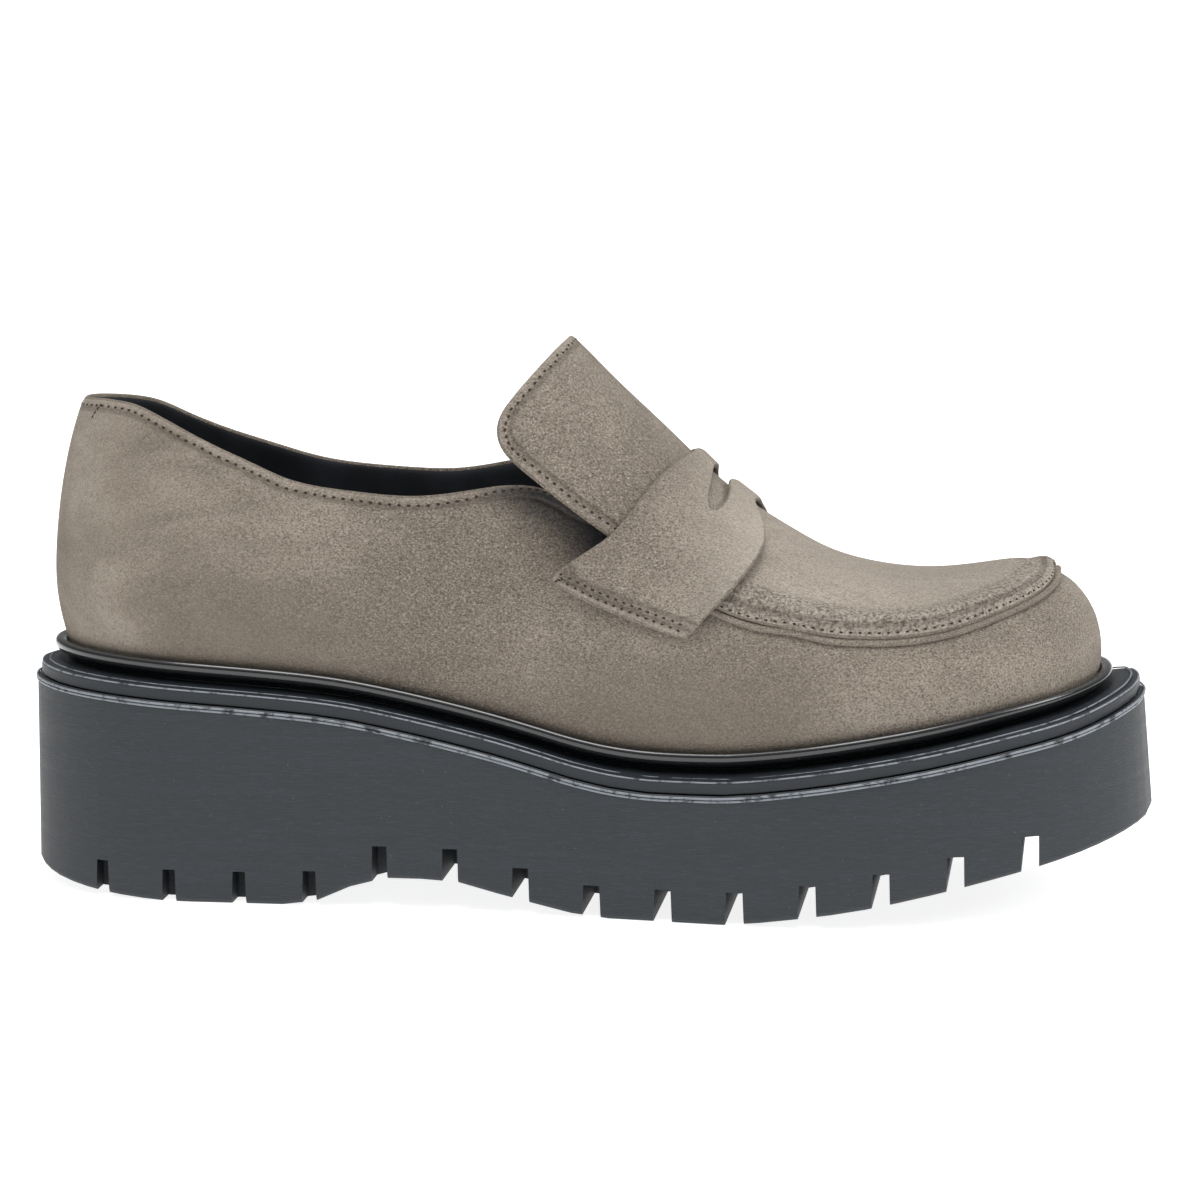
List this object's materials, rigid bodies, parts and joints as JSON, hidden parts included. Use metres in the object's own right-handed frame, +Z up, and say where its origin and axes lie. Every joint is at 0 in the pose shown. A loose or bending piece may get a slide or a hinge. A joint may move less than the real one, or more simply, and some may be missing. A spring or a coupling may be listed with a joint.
{
  "type": "chunky lug sole loafer",
  "caption": "Right chunky loafer: hollow suede upper with rolled apron seam, free tongue and slotted saddle strap, on a thick black lug sole with arch and toe spring.",
  "frame": {"origin": "middle of the shoe's footprint, on the plane its heel and forefoot stand on", "axes": "+X from heel to toe, +Y to the inner side of the foot, +Z up"},
  "size_m": [0.2784, 0.101, 0.1374],
  "materials": {
    "matte_black_rubber": "matte, fine sanding lines",
    "gloss_black_rand": "glossy",
    "black_lining": "smooth",
    "taupe_suede": "brushed suede nap"
  },
  "bodies": {
    "root": {"outsole": "matte_black_rubber", "midsole": "matte_black_rubber", "rand": "gloss_black_rand", "insole": "black_lining", "upper": "taupe_suede", "apron_tongue": "taupe_suede", "strap": "taupe_suede"}
  },
  "joints": []
}
